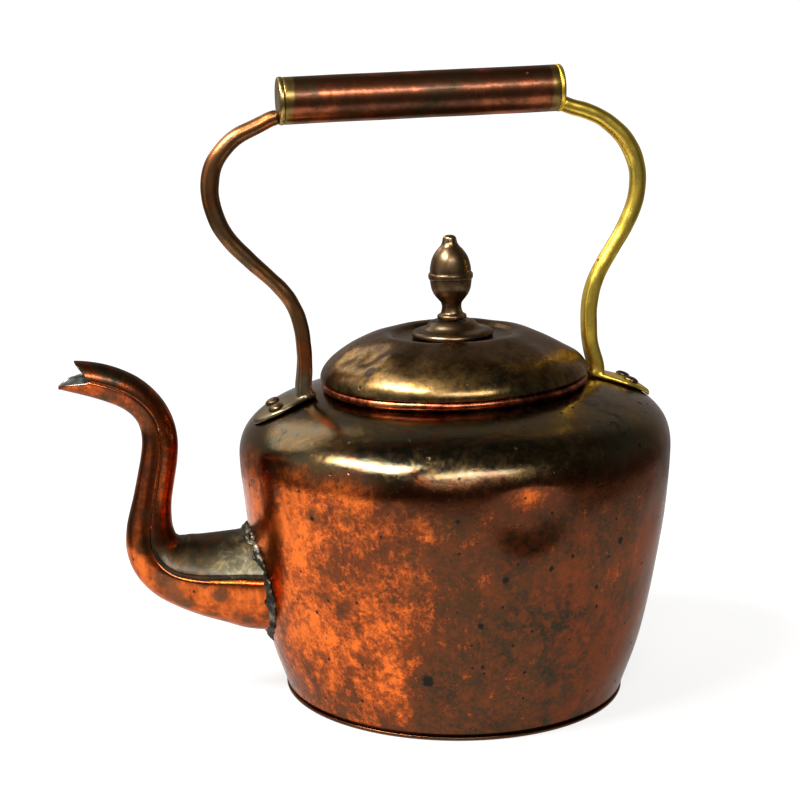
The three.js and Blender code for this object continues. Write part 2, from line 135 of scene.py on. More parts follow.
def lathe(name, outline, segments, shape=None):
    """A solid of revolution. The outline closes on itself, or starts and ends on the axis."""
    outline = np.asarray(outline, dtype=float)
    solid = outline[0, 0] < 1e-6
    ring_rows = outline[1:-1] if solid else outline
    angles = np.linspace(0, 2 * math.pi, segments, endpoint=False)
    r, z = ring_rows[:, 0][:, None], ring_rows[:, 1][:, None]
    points = np.stack([r * np.cos(angles), r * np.sin(angles), z + 0 * angles], axis=2).reshape(-1, 3)
    faces = grid_faces(len(ring_rows), segments, wrap_rows=not solid)
    if solid:
        first, last = len(points), len(points) + 1
        points = np.vstack([points, [0, 0, outline[0, 1]], [0, 0, outline[-1, 1]]])
        top = (len(ring_rows) - 1) * segments
        for k in range(segments):
            n = (k + 1) % segments
            faces.append((first, n, k))
            faces.append((last, top + k, top + n))
    area = np.sum(outline[:, 0] * np.roll(outline[:, 1], -1) - np.roll(outline[:, 0], -1) * outline[:, 1])
    if area < 0:
        faces = [f[::-1] for f in faces]
    if shape is not None:
        points = shape(points)
    return make_object(name, points, faces)


def loft(name, rings, wrap=False):
    """A solid through rings of points that all run the same way round, with flat ends."""
    count = len(rings[0])
    points = np.vstack(rings)
    faces = grid_faces(len(rings), count, wrap_rows=wrap)
    if not wrap:
        faces.append(tuple(range(count))[::-1])
        faces.append(tuple((len(rings) - 1) * count + k for k in range(count)))
    obj = make_object(name, points, faces)
    face_out(obj)
    return obj


def face_out(obj):
    """Turns a closed mesh's faces outwards."""
    mesh = obj.data
    mesh.calc_loop_triangles()
    at = np.array([v.co for v in mesh.vertices])
    tri = np.array([t.vertices for t in mesh.loop_triangles])
    a, b, c = at[tri[:, 0]], at[tri[:, 1]], at[tri[:, 2]]
    if np.einsum("ij,ij->i", a, np.cross(b, c)).sum() < 0:
        mesh.flip_normals()


def apply_modifiers(obj):
    """Bakes an object's modifiers into its mesh."""
    graph = bpy.context.evaluated_depsgraph_get()
    mesh = bpy.data.meshes.new_from_object(obj.evaluated_get(graph))
    obj.modifiers.clear()
    obj.data = mesh


def cut(obj, cutter):
    """Takes the cutter's solid away from obj, and deletes the cutter."""
    change = obj.modifiers.new("cut", "BOOLEAN")
    change.operation = "DIFFERENCE"
    change.object = cutter
    change.solver = "EXACT"
    apply_modifiers(obj)
    bpy.data.objects.remove(cutter)


def fuse(obj, voxel, smoothing):
    """Melts the overlapping solids of one mesh into a single forged-looking skin."""
    remesh = obj.modifiers.new("fuse", "REMESH")
    remesh.mode = "VOXEL"
    remesh.voxel_size = voxel * MM
    remesh.use_smooth_shade = True
    ease = obj.modifiers.new("ease", "SMOOTH")
    ease.factor = 0.5
    ease.iterations = smoothing
    apply_modifiers(obj)


def join(name, parts):
    """One mesh object out of several."""
    points, faces, start = [], [], 0
    for part in parts:
        points += [tuple(v.co / MM) for v in part.data.vertices]
        faces += [tuple(start + i for i in p.vertices) for p in part.data.polygons]
        start = len(points)
        bpy.data.objects.remove(part)
    return make_object(name, points, faces)


def wobble(points, size, amount, seed):
    """Small smooth unevenness: how far each point moves out, for features of that size in mm."""
    offset = Vector((seed * 13.1, seed * 7.7, seed * 3.3))
    return amount * np.array([noise.noise(Vector(p) / size + offset) for p in points])


def finish_piece(obj, body, material, slot, *nodes):
    """Gives a piece its material, its body and the CAD nodes it stands for."""
    obj.data.materials.clear()
    obj.data.materials.append(material)
    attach(obj, body)
    if nodes:
        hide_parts(*nodes)


def tin_inside(obj, tin, centres):
    """Tins the faces that look towards the nearest of the given points inside the vessel."""
    obj.data.materials.append(tin)
    centres = np.asarray(centres)
    for face in obj.data.polygons:
        at = np.array(face.center) / MM
        nearest = centres[np.argmin(((centres - at) ** 2).sum(axis=1))]
        if np.dot(at - nearest, face.normal) < 0:
            face.material_index = 1


# ---- Materials --------------------------------------------------------------------------------
class Nodes:
    """Builds up a node tree. Most methods add a node and return its output."""

    def __init__(self, tree):
        self.tree = tree

    def feed(self, node, inputs):
        """Links outputs to a node's inputs, or sets their own values."""
        for key, value in inputs.items():
            if isinstance(value, bpy.types.NodeSocket):
                self.tree.links.new(value, node.inputs[key])
            else:
                node.inputs[key].default_value = value

    def add(self, kind, inputs={}, **settings):
        node = self.tree.nodes.new(kind)
        for key, value in settings.items():
            setattr(node, key, value)
        self.feed(node, inputs)
        return node

    def math(self, operation, a, b=0.0, clamp=False):
        node = self.add("ShaderNodeMath", {0: a, 1: b}, operation=operation, use_clamp=clamp)
        return node.outputs[0]

    def times(self, a, b):
        return self.math("MULTIPLY", a, b)

    def sway(self, base, wave, amount):
        """The base, moved up and down as the wave goes above and below 0.5."""
        return self.math("ADD", base, self.times(self.math("SUBTRACT", wave, 0.5), amount))

    def ramp(self, value, low, high, to_low=0.0, to_high=1.0):
        """Smoothly from to_low to to_high as the value goes from low to high."""
        inputs = {"Value": value, "From Min": low, "From Max": high, "To Min": to_low, "To Max": to_high}
        return self.add("ShaderNodeMapRange", inputs, interpolation_type="SMOOTHSTEP").outputs["Result"]


class Shader(Nodes):
    """A node material under construction."""

    def __init__(self, name):
        self.material = bpy.data.materials.new(name)
        self.material.use_nodes = True
        super().__init__(self.material.node_tree)
        self.surface = self.tree.nodes["Principled BSDF"]
        self.where = self.add("ShaderNodeTexCoord").outputs["Object"]
        split = self.add("ShaderNodeSeparateXYZ", {"Vector": self.where})
        self.x, self.z = split.outputs["X"], split.outputs["Z"]

    def stretch(self, scale, shift=(0, 0, 0)):
        """The object's coordinates, scaled and shifted."""
        inputs = {"Vector": self.where, "Scale": scale, "Location": shift}
        return self.add("ShaderNodeMapping", inputs).outputs["Vector"]

    def noise(self, size, detail=4.0, roughness=0.55, distortion=0.0, vector=None, shift=0.0):
        """Fractal noise, about 0.5 on average, whose largest features are size millimetres."""
        node = self.add("ShaderNodeTexNoise", {
            "Vector": self.where if vector is None else vector, "W": shift, "Scale": 1 / (size * MM),
            "Detail": detail, "Roughness": roughness, "Distortion": distortion,
        }, noise_dimensions="4D")
        return node.outputs["Fac"]

    def tints(self, value, stops):
        """A colour ramp from (position, (r, g, b)) stops."""
        node = self.add("ShaderNodeValToRGB", {"Fac": value})
        ramp = node.color_ramp
        for _ in stops[2:]:
            ramp.elements.new(0.5)
        for element, (position, colour) in zip(ramp.elements, stops):
            element.position = position
            element.color = (*colour, 1.0)
        return node.outputs["Color"]

    def mix(self, share, a, b):
        """From colour a to colour b as the share goes from 0 to 1."""
        a, b = (c if isinstance(c, bpy.types.NodeSocket) else (*c, 1.0) for c in (a, b))
        node = self.add("ShaderNodeMix", {"Factor": share, "A": a, "B": b}, data_type="RGBA")
        return node.outputs["Result"]

    def distance(self, point):
        """Distance in metres from a point given in mm."""
        inputs = {0: self.where, 1: [v * MM for v in point]}
        return self.add("ShaderNodeVectorMath", inputs, operation="DISTANCE").outputs["Value"]

    def near(self, point, radius, soft):
        """1 within the radius of a point in mm, falling to 0 over the soft width."""
        return self.ramp(self.distance(point), (radius - soft / 2) * MM, (radius + soft / 2) * MM, 1.0, 0.0)

    def bumps(self, *layers):
        """Chains (height, depth in mm) bump layers into the surface's normal."""
        below = {}
        for height, depth in layers:
            node = self.add("ShaderNodeBump", {"Distance": depth * MM, "Height": height, **below})
            below = {"Normal": node.outputs["Normal"]}
        self.feed(self.surface, below)

    def metal(self, colour, roughness):
        """Metal under the thin remains of old polish."""
        self.feed(self.surface, {
            "Metallic": 1.0, "Specular Tint": (0.62, 0.54, 0.50, 1.0), "Coat Weight": 0.13,
            "Coat Roughness": 0.16, "Base Color": colour, "Roughness": roughness,
        })

    def specked_metal(self, colour, roughness, speck, black, cover, *bumps, sunk):
        """Metal with dark specks, which are rougher than the rest and sunk by so many mm."""
        colour = self.mix(self.times(speck, cover), colour, black)
        self.metal(colour, self.math("ADD", roughness, self.times(speck, 0.3), clamp=True))
        self.bumps(*bumps, (self.math("SUBTRACT", 1.0, speck), sunk))
        return self.material


CLEAN_COPPER = (0.76, 0.150, 0.019)
WARM_COPPER = (0.38, 0.072, 0.012)
RUSTY_COPPER = (0.26, 0.050, 0.010)
RED_TARNISH = (0.150, 0.029, 0.007)
BROWN_COPPER = (0.100, 0.028, 0.009)
# Colour of the painted dark reflection under the shoulder.
DARK_REFLECTION_RED = (0.070, 0.019, 0.006)
DARK_COPPER = (0.060, 0.024, 0.009)
# Brown of the stains and of the painted dark reflection under the shoulder.
BLOT_AND_REFLECTION_BROWN = (0.045, 0.024, 0.009)
GREY_TARNISH = (0.036, 0.024, 0.011)
UMBER = (0.018, 0.016, 0.009)
OLIVE_BLACK = (0.016, 0.013, 0.007)
OLIVE = (0.080, 0.070, 0.040)
OLD_BRONZE = (0.10, 0.062, 0.024)
OLD_GOLD = (0.19, 0.12, 0.045)
RUBBED_COPPER = (0.13, 0.045, 0.016)
PIT_BLACK = (0.012, 0.011, 0.008)


def pits(s, size, density, radius, shift=0.0):
    """Scattered round specks: 1 on a speck. density is the share of cells that hold one."""
    moved = s.stretch((1, 1, 1), (shift, shift * 0.7, shift * 1.3))
    cells = s.add("ShaderNodeTexVoronoi", {"Vector": moved, "Scale": 1 / (size * MM)})
    chance = s.add("ShaderNodeSeparateColor", {"Color": cells.outputs["Color"]})
    held = s.math("LESS_THAN", chance.outputs["Red"], density)
    reach = s.ramp(chance.outputs["Green"], 0.0, 1.0, radius * 0.35 / size, radius / size)
    rough_edge = s.times(s.noise(size * 0.15, detail=2.0), radius * 0.9 / size)
    gap = s.math("SUBTRACT", s.math("ADD", cells.outputs["Distance"], rough_edge), reach)
    spot = s.ramp(gap, radius * 0.15 / size, radius * 0.55 / size, 1.0, 0.0)
    return s.times(spot, held)


# Stains of the wall, and among the brown blots a painted dark reflection: degrees round from the front
# towards the rear stay, height and radius.
BLACK_SPOTS = [
    (-19, 29, 3.2), (-17, 108, 1.3), (-11, 101, 1.2), (44, 120, 1.9), (1, 75, 1.6), (13, 78, 1.6),
    (19, 82, 1.3), (-30, 93, 1.1), (-5, 55, 1.7), (9, 51, 1.0), (28, 66, 1.2), (136, 70, 2.4),
    (-167, 60, 2.0), (103, 87, 1.8), (-4, 36, 1.2), (-38, 62, 1.0),
]
# The two large blots just under the shoulder, at -25 and -13 degrees, are a painted dark reflection; the
# others are stains.
BLOTS_AND_DARK_REFLECTION = [
    (-49, 98, 3.4), (-39, 100, 3.0), (-22, 84, 3.2), (-25, 110, 9.0), (-13, 105, 10.0), (-21, 71, 4.0),
    (-8, 66, 5.0), (-43, 58, 3.0),
]
# Stains of the spout: x, y, z and radius.
SPOUT_BLOTS = [
    (-130, -14, 59, 6.0), (-126, -13, 52, 5.0), (-107, -19, 52, 3.6), (-114, -19, 58, 2.6),
    (-99, -16, 44, 3.4), (-102, -18, 50, 2.6), (-122, -13, 48, 4.0), (-138, -11, 73, 4.0),
    (-96, -19, 38, 3.0), (-110, 15, 50, 6.0), (-128, 12, 56, 5.0),
]


def on_wall(stains):
    """The wall's stains as x, y, z and radius."""
    placed = []
    for angle, height, radius in stains:
        turn, reach = math.radians(angle), wall_radius(height)
        at = lean_body(np.array([[reach * math.sin(turn), -reach * math.cos(turn), height]]))[0]
        placed.append((*at, radius))
    return placed


def spots(s, places, reach, soft, ragged):
    """1 inside any of the placed (x, y, z, radius) spots, with ragged edges."""
    nearest = None
    for *point, radius in places:
        share = s.math("DIVIDE", s.distance(point), radius * MM * reach)
        nearest = share if nearest is None else s.math("MINIMUM", nearest, share)
    return s.ramp(s.sway(nearest, ragged, 3.2), 1.0 - soft / 2, 1.0 + soft / 2, 1.0, 0.0)


def wall_tarnish_and_side_light(s, waves, dent_rim_reflection):
    """Least at the front left, most to the right, thick in the middle and none on the dent's rim. The
    lighter front left is partly tarnish and partly painted light falling from the left; the clean copper on
    the dent's rim is a painted reflection.
    """
    # Painted side light as well as tarnish: the wall is painted lighter towards the front left, where the
    # light falls.
    tarnish_and_light = s.ramp(s.x, -0.082, 0.034, 0.20, 0.77)
    for wave, amount in waves:
        tarnish_and_light = s.sway(tarnish_and_light, wave, amount)
    placed = (
        (s.near((8, -88, 66), 26, 40), 0.12), (s.near((26, -84, 50), 20, 30), 0.06),
        # The dent's rim takes clean copper as a painted reflection.
        (s.ramp(s.z, 0.004, 0.030, 1.0, 0.0), 0.16), (dent_rim_reflection, -0.62),
    )
    for place_share, amount in placed:
        tarnish_and_light = s.math("ADD", tarnish_and_light, s.times(place_share, amount))
    return s.math("ADD", tarnish_and_light, 0.0, clamp=True)


def wall_colour(s, tarnish_and_light, patch, speckle, edge, dent_rim_reflection):
    wall = s.tints(tarnish_and_light, [
        (0.0, CLEAN_COPPER), (0.24, WARM_COPPER), (0.48, BROWN_COPPER), (0.74, GREY_TARNISH), (1.0, UMBER),
    ])
    redder = s.ramp(s.noise(22, detail=8.0, roughness=0.75, shift=17.0), 0.42, 0.58, 0.0, 0.75)
    wall = s.mix(s.times(redder, s.ramp(s.x, -0.02, 0.05)), wall, RED_TARNISH)
    wall = s.mix(s.ramp(speckle, 0.44, 0.62, 0.0, 0.40), wall, RUSTY_COPPER)
    # Brown stains, partly a painted dark reflection under the shoulder.
    wall = s.mix(s.times(spots(s, on_wall(BLOTS_AND_DARK_REFLECTION), 1.0, 0.9, patch), 0.62), wall, BLOT_AND_REFLECTION_BROWN)
    # Painted dark reflection: a dark red band under the shoulder, from the spout's side round to the right,
    # where the dark room is mirrored.
    dark_reflection_band = s.times(s.ramp(edge, 0.096, 0.108), s.ramp(s.sway(s.x, patch, 0.05), -0.066, -0.034))
    dark_reflection_band = s.times(dark_reflection_band, s.math("SUBTRACT", 1.0, dent_rim_reflection))
    return s.mix(s.times(dark_reflection_band, 0.7), wall, DARK_REFLECTION_RED)


def shoulder_colour(s, cloud, patch, speckle):
    """An olive brown patina, rubbed to copper in places."""
    mottle = s.math("ADD", s.times(cloud, 0.30), s.times(patch, 0.35))
    mottle = s.math("ADD", mottle, s.times(speckle, 0.35))
    patina = s.tints(mottle, [(0.41, OLIVE_BLACK), (0.47, OLIVE), (0.52, OLD_BRONZE), (0.60, OLD_GOLD)])
    rubbed = s.ramp(s.noise(24, detail=5.0, shift=11.0), 0.56, 0.70, 0.0, 0.75)
    return s.mix(rubbed, patina, RUBBED_COPPER)


def body_material():
    s = Shader("mottled_copper")
    cloud = s.noise(62, detail=6.0, roughness=0.62, distortion=0.5)
    patch = s.noise(20, detail=8.0, roughness=0.72, distortion=0.6, shift=3.0)
    speckle = s.noise(4.2, detail=6.0, roughness=0.75, distortion=0.4, shift=5.0)
    grain = s.noise(1.3, detail=4.0, roughness=0.7, shift=6.0)
    streak = s.noise(13, detail=6.0, roughness=0.7, vector=s.stretch((1, 1, 0.14)), shift=7.0)
    # Painted reflection: bright clean copper on the dent's upper rim, where it catches the floor.
    dent_rim_reflection = s.near((11, -93, 110), 5, 13)
    waves = ((cloud, 0.95), (patch, 1.55), (speckle, 1.65), (grain, 0.8), (streak, 1.1))
    tarnish_and_light = wall_tarnish_and_side_light(s, waves, dent_rim_reflection)
    # The wall's colour gives way to the shoulder's over the corner, along a ragged edge.
    level = s.math("SUBTRACT", s.z, s.times(s.x, math.tan(LEAN)))
    edge = s.sway(level, patch, 0.022)
    shoulder = s.ramp(edge, 0.111, 0.122)
    wall = wall_colour(s, tarnish_and_light, patch, speckle, edge, dent_rim_reflection)
    colour = s.mix(shoulder, wall, shoulder_colour(s, cloud, patch, speckle))
    speck = s.math("MAXIMUM", pits(s, 6.0, 0.55, 0.9), pits(s, 21, 0.35, 2.0, shift=0.37))
    speck = s.math("MAXIMUM", speck, spots(s, on_wall(BLACK_SPOTS), 0.72, 0.5, speckle))
    colour = s.mix(s.times(speck, 0.92), colour, PIT_BLACK)
    colour = s.mix(s.ramp(s.z, 0.0022, 0.0042, 0.8, 0.0), colour, DARK_COPPER)
    rough = s.math("ADD", s.ramp(tarnish_and_light, 0.1, 0.9, 0.20, 0.32), s.times(shoulder, -0.09))
    rough = s.math("ADD", s.sway(rough, speckle, 0.20), s.times(speck, 0.35), clamp=True)
    s.metal(colour, rough)
    dimple = s.noise(15, detail=1.0, shift=21.0)
    s.bumps((dimple, 0.22), (speckle, 0.10), (grain, 0.03), (s.math("SUBTRACT", 1.0, speck), 0.10))
    return s.material


def lid_material():
    s = Shader("bronzed_copper")
    cloud = s.noise(38, detail=6.0, roughness=0.6, distortion=0.4, shift=2.0)
    patch = s.noise(11, detail=6.0, roughness=0.65, distortion=0.5, shift=4.0)
    grain = s.noise(2.4, detail=5.0, roughness=0.7, shift=6.0)
    fine = s.noise(5.0, detail=7.0, roughness=0.78, shift=8.0)
    blend = s.math("ADD", s.times(cloud, 0.6), s.times(patch, 0.4))
    colour = s.tints(blend, [
        (0.34, (0.045, 0.033, 0.016)), (0.44, (0.13, 0.080, 0.030)), (0.54, (0.22, 0.120, 0.036)),
        (0.66, (0.16, 0.125, 0.060)),
    ])
    colour = s.mix(s.ramp(fine, 0.42, 0.60, 0.0, 0.8), colour, (0.040, 0.026, 0.012))
    colour = s.mix(s.ramp(s.z, 0.1515, 0.158, 0.0, 0.65), colour, (0.050, 0.026, 0.013))
    speck = s.math("MAXIMUM", pits(s, 8, 0.22, 1.0), pits(s, 22, 0.42, 3.2, shift=0.29))
    rough = s.sway(s.ramp(blend, 0.35, 0.65, 0.34, 0.25), grain, 0.14)
    wavy = s.noise(13, detail=2.0, shift=9.0)
    return s.specked_metal(colour, rough, speck, PIT_BLACK, 0.85, (wavy, 0.35), (fine, 0.08), sunk=0.10)


def plain_metal(name, patches, grains, stops, roughness, depths):
    """Metal tinted by patches and roughened by grain, without specks."""
    s = Shader(name)
    patch, grain = s.noise(*patches, shift=1.0), s.noise(*grains, shift=2.0)
    s.metal(s.tints(patch, stops), s.ramp(grain, 0.3, 0.7, *roughness))
    s.bumps((patch, depths[0]), (grain, depths[1]))
    return s.material


def bead_material():
    tints = [(0.38, DARK_COPPER), (0.48, (0.28, 0.060, 0.024)), (0.60, (0.62, 0.18, 0.070))]
    return plain_metal("red_copper", (9, 6.0, 0.6), (1.6, 4.0), tints, (0.24, 0.4), (0.08, 0.03))


def tin_material():
    tints = [(0.35, (0.12, 0.12, 0.10)), (0.5, (0.27, 0.28, 0.25)), (0.65, (0.42, 0.43, 0.39))]
    return plain_metal("old_tinning", (14, 6.0, 0.65), (1.5, 5.0), tints, (0.30, 0.5), (0.12, 0.05))


def brass_material(name, tints, tarnished, spot_density, foot=None, ends=None):
    """Handled brass or copper in bright, tarnished and dark tints.

    tarnished is the noise level of the middle tint. A foot or a tube's ends can have their own colour.
    """
    s = Shader(name)
    cloud = s.noise(17, detail=6.0, roughness=0.6, distortion=0.4, shift=1.5)
    grain = s.noise(1.8, detail=5.0, roughness=0.7, shift=3.5)
    blend = s.sway(cloud, grain, 0.25)
    colour = s.tints(blend, list(zip((tarnished - 0.13, tarnished, tarnished + 0.16), tints)))
    if foot:
        colour = s.mix(s.ramp(s.z, 0.136, 0.150, 0.85, 0.0), colour, foot)
    if ends:
        from_middle = s.math("ABSOLUTE", s.math("SUBTRACT", s.x, GRIP_CENTRE[0] * MM))
        colour = s.mix(s.ramp(s.sway(from_middle, cloud, 0.004), 0.0548, 0.0562, 0.0, 0.8), colour, ends)
    speck = pits(s, 7, spot_density, 0.9)
    rough = s.ramp(blend, 0.35, 0.7, 0.28, 0.44)
    wavy = s.noise(6, detail=2.0, shift=8.0)
    black = (0.05, 0.035, 0.012)
    return s.specked_metal(colour, rough, speck, black, 0.85, (wavy, 0.10), (grain, 0.03), sunk=0.12)


def spout_material(name, upper):
    """Copper of the spout: orange under the lower bend, brown black inside it, streaked above."""
    s = Shader(name)
    cloud = s.noise(30, detail=6.0, roughness=0.62, distortion=0.5, shift=1.0)
    patch = s.noise(9, detail=7.0, roughness=0.70, distortion=0.5, shift=4.0)
    streak = s.noise(5.5, detail=5.0, roughness=0.6, vector=s.stretch((1, 1, 0.10)), shift=2.0)
    speckle = s.noise(2.2, detail=6.0, roughness=0.75, shift=6.0)
    blend = s.ramp(s.z, 0.066, 0.086, 0.95 if upper else 0.22, 0.52)
    for wave, amount in ((cloud, 0.9), (patch, 1.5), (streak, 1.3), (speckle, 0.8)):
        blend = s.sway(blend, wave, amount)
    near_mouth = s.ramp(s.z, 0.138, 0.152, 0.0, 0.42 if upper else -0.28)
    blend = s.math("ADD", blend, near_mouth, clamp=True)
    colour = s.tints(blend, [
        (0.0, (0.66, 0.135, 0.020)), (0.30, (0.36, 0.066, 0.010)), (0.52, (0.16, 0.036, 0.010)),
        (0.75, (0.060, 0.030, 0.013)), (1.0, (0.024, 0.019, 0.010)),
    ])
    # Grey green and brassy where solder has run out over the root's saddle.
    saddle = s.times(s.ramp(s.sway(s.z, patch, 0.014), 0.0585, 0.0615), s.ramp(s.x, -0.116, -0.098))
    gilded = s.tints(patch, [
        (0.42, (0.030, 0.028, 0.018)), (0.54, (0.080, 0.072, 0.044)), (0.66, (0.27, 0.19, 0.08)),
    ])
    colour = s.mix(s.times(saddle, 0.85), colour, gilded)
    stains = spots(s, SPOUT_BLOTS, 1.0, 0.7, patch)
    colour = s.mix(s.times(stains, 0.75), colour, (0.060, 0.036, 0.018))
    speck = s.math("MAXIMUM", pits(s, 6, 0.4, 0.8), pits(s, 17, 0.30, 2.2, shift=0.5))
    rough = s.sway(s.ramp(blend, 0.2, 0.9, 0.22, 0.36), speckle, 0.2)
    wavy = s.noise(8, detail=1.0, shift=9.0)
    return s.specked_metal(colour, rough, speck, PIT_BLACK, 0.8, (wavy, 0.18), (speckle, 0.07), sunk=0.1)


def solder_material():
    s = Shader("rough_solder")
    patch = s.noise(4.5, detail=6.0, roughness=0.7, shift=1.0)
    grain = s.noise(0.9, detail=5.0, roughness=0.7, shift=2.0)
    colour = s.tints(patch, [
        (0.40, (0.012, 0.012, 0.009)), (0.52, (0.05, 0.047, 0.033)), (0.66, (0.30, 0.27, 0.19)),
    ])
    s.metal(colour, s.ramp(grain, 0.3, 0.7, 0.28, 0.6))
    s.bumps((s.noise(2.2, detail=4.0, shift=5.0), 0.5), (grain, 0.12))
    return s.material


def iron_material():
    s = Shader("bare_iron")
    patch = s.noise(3, detail=5.0, roughness=0.6)
    colour = s.tints(patch, [(0.35, (0.05, 0.03, 0.02)), (0.65, (0.20, 0.17, 0.15))])
    s.metal(colour, s.ramp(patch, 0.3, 0.7, 0.6, 0.4))
    s.bumps((patch, 0.08))
    return s.material


# ---- Body, base and mouth ---------------------------------------------------------------------
BODY_OUTLINE = [
    (75.3, 2.0), (82.2, 22), (88.2, 49), (92.9, 79), (95.0, 104), (94.9, 113.5), (92.9, 119.9),
    (89.1, 124.8), (83.8, 128.6), (76.9, 131.7), (67.9, 134.5), (56.5, 137.2),
]
SHEET = 1.2
# Dents and swellings of the wall: angle from the front towards the rear stay in degrees, height,
# half width, half height and depth, with a negative depth for a swelling.
WALL_DENTS = [
    (7, 99.5, 14.0, 12.5, 2.3), (8, 114, 15, 3.4, -0.3), (-14, 119, 14, 5, 0.55),
    (-34, 112, 18, 10, -0.3), (-52, 88, 16, 24, 0.35), (48, 96, 20, 14, 0.5), (70, 60, 22, 20, 0.4),
    (-8, 58, 26, 18, 0.3), (150, 90, 20, 16, 0.8), (205, 60, 26, 20, 0.5), (120, 118, 16, 7, 0.6),
]


def dent_wall(points):
    """Moves wall points in by the dents and by a slight hammered unevenness."""
    angle = np.degrees(np.arctan2(points[:, 0], -points[:, 1]))
    radius = np.hypot(points[:, 0], points[:, 1])
    depth = wobble(points, 34.0, 0.35, 1) + wobble(points, 13.0, 0.10, 2)
    for at, height, half_width, half_height, deep in WALL_DENTS:
        turn = (angle - at + 180) % 360 - 180
        across = np.radians(turn) * radius / half_width
        up = (points[:, 2] - height) / half_height
        depth += deep * np.exp(-((across**2 + up**2) ** 1.6))
    depth *= smoothstep(points[:, 2], 3.0, 14.0) * smoothstep(radius, 58.0, 70.0)
    share = 1 - depth / np.maximum(radius, 1.0)
    out = points.copy()
    out[:, :2] *= share[:, None]
    return out


def shape_body(points):
    return lean_body(dent_wall(points))


def build_body(copper, tin):
    body = lathe("body", sheet(catmull(BODY_OUTLINE, 12), SHEET), 288, shape_body)
    cut(body, loft("root_hole", [section_ring(f, -SPOUT_SHEET, 48) for f in spout_frames[:26]]))
    finish_piece(body, KETTLE, copper, "copper", "body_shell")
    tin_inside(body, tin, [(0, 0, 60)])


def build_base(copper):
    """The base disc. Its edge is turned up round the wall and has worn round."""
    outline = catmull([(74.2, 0.0), (75.4, 0.15), (75.9, 0.8), (75.75, 1.5), (75.2, 1.75), (74.0, 1.7)], 6)
    outline = np.vstack([[0, 0], [20, 0], [60, 0], outline, [60, 1.7], [20, 1.7], [0, 1.7]])
    base = lathe("base", outline, 240)
    finish_piece(base, KETTLE, copper, "copper", "base_plate")


COLLAR_INNER, BEAD_RADIUS, BEAD_HEIGHT, THIN_SHEET = 55.4, 1.7, 139.4, 0.7


def arc(r, z, radius, start, end, steps):
    angles = np.radians(np.linspace(start, end, steps))
    return np.stack([r + radius * np.cos(angles), z + radius * np.sin(angles)], axis=1)


def shape_bead(points):
    """The bead is a little uneven all round, as old rolled edges are."""
    high = smoothstep(points[:, 2], 136.0, 139.0)
    out = points.copy()
    out[:, 2] += high * wobble(points, 17.0, 0.32, 4)
    return on_mouth(out)


def build_mouth(copper, iron):
    centre = COLLAR_INNER + BEAD_RADIUS
    outline = np.vstack([
        [[COLLAR_INNER, 127.5], [COLLAR_INNER, 133]],
        arc(centre, BEAD_HEIGHT, BEAD_RADIUS, 180, -135, 22),
        arc(centre, BEAD_HEIGHT, BEAD_RADIUS - THIN_SHEET, -135, 180, 18),
        [[COLLAR_INNER + THIN_SHEET, 133], [COLLAR_INNER + THIN_SHEET, 127.5]],
    ])
    ring = lathe("mouth_bead", outline, 240, shape_bead)
    finish_piece(ring, KETTLE, copper, "copper", "mouth_ring")
    wire = lathe("bead_wire", arc(centre, BEAD_HEIGHT, 0.62, 0, 330, 12), 160, shape_bead)
    finish_piece(wire, KETTLE, iron, "iron", "mouth_wire")


# ---- Lid --------------------------------------------------------------------------------------
LID_SHEET = 1.0
LID_OUTLINE = [
    (58.2, 141.4), (58.75, 142.0), (58.8, 143.2), (57.6, 146.0), (53.2, 150.7), (46.4, 155.2), (38.5, 158.7),
    (32.0, 160.7), (29.2, 160.75), (27.3, 160.3), (25.9, 159.4), (24.6, 158.6), (22.8, 158.4), (12, 158.4),
    (2.8, 158.4),
]
# Dents of the lid: x, y, half width and depth in mm.
LID_DENTS = [
    (-41, -20, 6.5, 2.3), (-33, -30, 5, -1.2), (-47, -9, 5.5, 1.6), (-23, -38, 7, 1.0),
    (38, -22, 15, 1.7), (47, 4, 13, 1.6), (30, 30, 12, 1.0), (-16, -28, 5, 0.5), (14, -34, 9, 0.5),
    (36, -40, 7, -0.3), (-30, 36, 9, 0.9), (-8, 46, 7, 0.6),
]


def shape_lid(points):
    radius = np.hypot(points[:, 0], points[:, 1])
    drop = wobble(points, 21.0, 0.5, 6) + wobble(points, 9.0, 0.12, 7)
    for x, y, half_width, deep in LID_DENTS:
        reach = ((points[:, 0] - x) ** 2 + (points[:, 1] - y) ** 2) / half_width**2
        drop += deep * np.exp(-reach)
    out = points.copy()
    out[:, 2] -= drop * smoothstep(radius, 23.0, 31.0) * smoothstep(-radius, -57.5, -52.0)
    return on_mouth(out)


KNOB_PLATE_OUTLINE = [
    (2.8, 158.7), (17.2, 158.7), (17.8, 159.1), (17.9, 159.8), (17.3, 160.8), (15.9, 161.5), (14.2, 161.7),
    (13.0, 162.0), (11.8, 162.8), (10.4, 164.3), (8.8, 165.4), (7.4, 165.7), (2.8, 165.7),
]
STUD_OUTLINE = [
    (0, 154.0), (2.4, 154.05), (3.5, 154.5), (3.7, 155.2), (3.4, 155.6), (2.4, 155.6), (2.4, 160.0),
    (2.4, 165.9), (5.5, 165.9),
]
ACORN_OUTLINE = [
    (6.3, 166.3), (6.5, 167.1), (6.2, 167.9), (5.5, 168.3), (4.9, 168.8), (4.5, 170.0), (4.3, 171.6),
    (4.6, 173.2), (5.9, 174.9), (7.4, 176.8), (8.5, 179.2), (9.0, 181.8), (9.15, 183.1), (9.2, 183.6),
    (9.6, 183.9), (9.8, 184.8), (9.75, 185.8), (9.4, 186.4), (9.05, 186.5), (9.05, 187.2), (8.95, 188.6),
    (8.5, 190.9), (7.8, 193.1), (6.7, 195.1), (5.3, 196.9), (4.1, 198.2), (3.35, 199.6), (3.05, 201.0),
    (2.7, 202.0), (1.6, 202.75), (0, 202.85),
]


